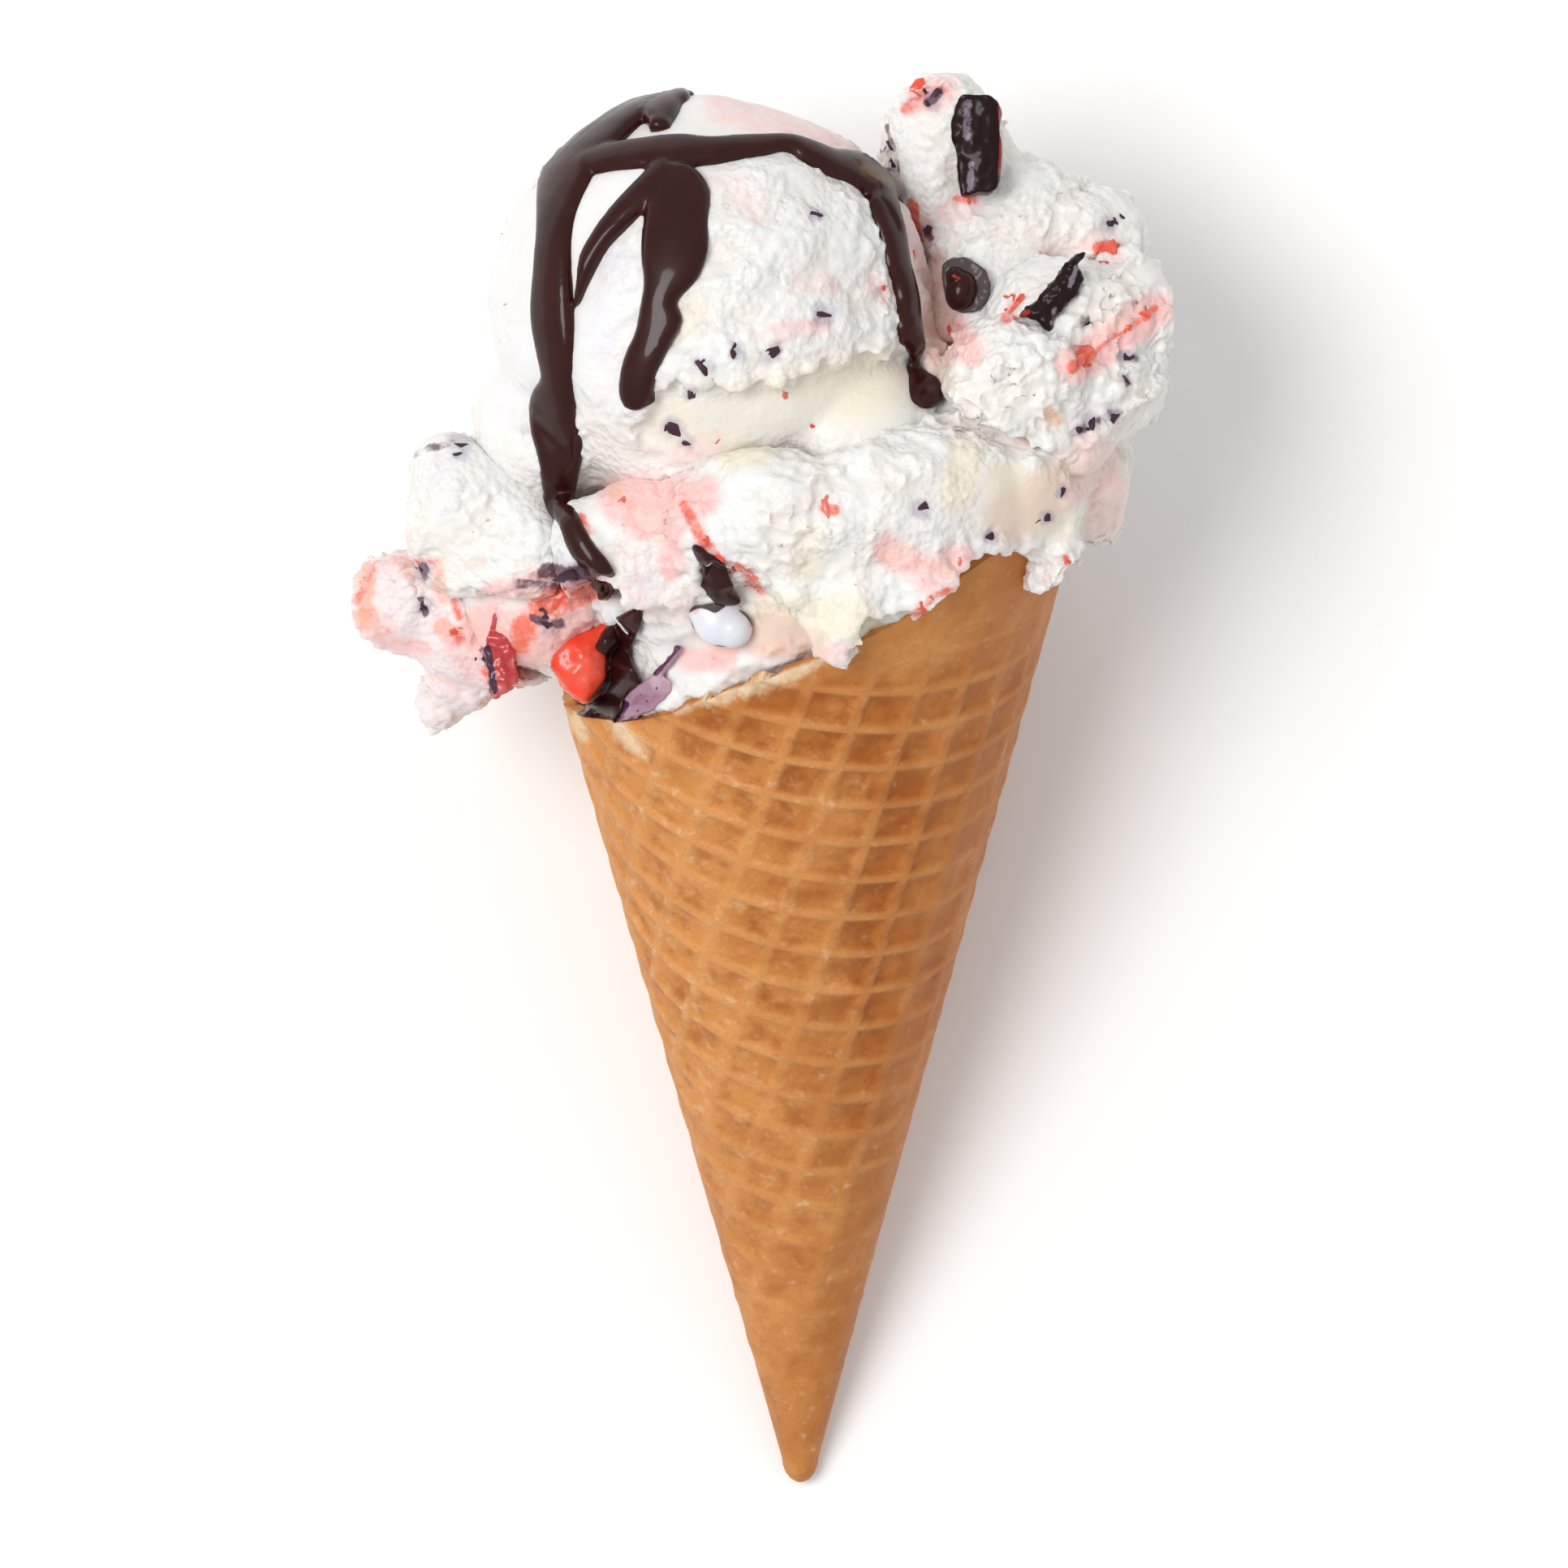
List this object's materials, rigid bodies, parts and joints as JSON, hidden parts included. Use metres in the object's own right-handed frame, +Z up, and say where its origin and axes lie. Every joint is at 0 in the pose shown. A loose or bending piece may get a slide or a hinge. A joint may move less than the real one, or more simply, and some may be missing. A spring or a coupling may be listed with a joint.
{
  "type": "ice cream cone",
  "caption": "Rolled waffle cone filled with berry ripple ice cream, drizzled with chocolate and topped with chocolate and fruit pieces, lying on its back.",
  "frame": {"origin": "on the ground under the middle of the object's box", "axes": "+Y from the cone's tip towards the ice cream, +Z up from the ground through the shown side, +X to the right as seen from above"},
  "size_m": [0.1108, 0.1986, 0.0887],
  "materials": {
    "wafer": "matt baked wafer with a waffle grid",
    "ice_cream": "moist icy cream with pink ripple",
    "berry_ripple": "moist icy cream stained with berry",
    "chocolate": "dark glossy chocolate",
    "fruit": "wet red fruit"
  },
  "bodies": {
    "root": {"waffle_cone": "wafer", "ice_cream_heap": "ice_cream", "ice_cream_scoop": "ice_cream", "ice_cream_peak": "ice_cream", "ice_cream_ruffle": "ice_cream", "left_lobe": "ice_cream", "berry_ripple_lobe": "berry_ripple", "chocolate_chunk_top": "chocolate", "chocolate_chunk_right": "chocolate", "chocolate_bead": "chocolate", "chocolate_curl": "chocolate", "chocolate_drop": "chocolate", "strawberry_piece": "fruit", "berry_piece": "fruit"}
  },
  "joints": []
}
